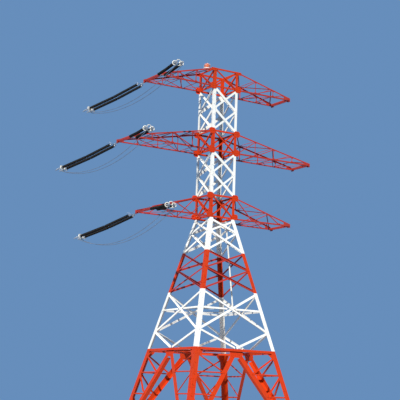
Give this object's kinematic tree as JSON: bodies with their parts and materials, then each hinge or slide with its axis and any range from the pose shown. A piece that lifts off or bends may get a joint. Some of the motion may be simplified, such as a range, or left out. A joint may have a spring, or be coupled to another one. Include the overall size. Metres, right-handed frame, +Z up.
{
  "type": "lattice transmission pylon",
  "caption": "Square lattice steel pylon with a flared base and pairs of cross-arms, with twin tension insulator strings and jumpers on its left arms, painted in red and white bands.",
  "frame": {"origin": "on the ground at the tower's axis, in the plane of the base plates' undersides", "axes": "+Z up along the tower, +X towards the bare right-hand arms, Y along the line"},
  "size_m": [18.7801, 14.1751, 29.935],
  "materials": {
    "red_paint": "weathered gloss, orange-red",
    "red_paint_deep": "weathered satin, deep red on the slender bars",
    "white_paint": "weathered satin, warm white",
    "galvanised_steel": "hot-dip galvanised, dull",
    "insulator_glaze": "glossy near-black",
    "ring_aluminium": "pale matt",
    "jumper_aluminium": "weathered strand",
    "lamp_orange": "ribbed lens",
    "lamp_white": "satin"
  },
  "bodies": {
    "root": {"arm_gussets": "red_paint", "base_plates": "galvanised_steel", "base_trusses": "red_paint", "belt": "red_paint", "belt_plan_bracing": "red_paint", "bottom_arm_bracing": "red_paint", "bottom_jumper_a": "jumper_aluminium", "bottom_jumper_b": "jumper_aluminium", "bottom_left_arm": "red_paint_deep", "bottom_right_arm": "red_paint_deep", "conduit": "white_paint", "far_insulators": "insulator_glaze", "far_string_fittings": "galvanised_steel", "foot_legs_red": "red_paint", "grading_rings": "ring_aluminium", "lamp_base": "lamp_white", "lamp_lens": "lamp_orange", "lower_legs_red": "red_paint", "lower_legs_white": "white_paint", "lower_shaft_bracing": "white_paint", "middle_arm_bracing": "red_paint", "middle_jumper_a": "jumper_aluminium", "middle_jumper_b": "jumper_aluminium", "middle_left_arm": "red_paint_deep", "middle_right_arm": "red_paint_deep", "near_insulators": "insulator_glaze", "near_string_fittings": "galvanised_steel", "red_inner_diagonals": "red_paint_deep", "red_outer_diagonals": "red_paint_deep", "ring_horizontals": "white_paint", "ring_plan_bracing": "white_paint", "tip_beams": "red_paint_deep", "top_arm_bracing": "red_paint", "top_jumper_a": "jumper_aluminium", "top_jumper_b": "jumper_aluminium", "top_left_arm": "red_paint_deep", "top_right_arm": "red_paint_deep", "upper_legs_red": "red_paint", "upper_legs_white": "white_paint", "upper_shaft_bracing": "white_paint", "vee_braces": "white_paint", "waist_bracing": "white_paint", "waist_diaphragm": "white_paint", "waist_legs_white": "white_paint", "white_inner_diagonals": "white_paint", "white_outer_diagonals": "white_paint"}
  },
  "joints": []
}
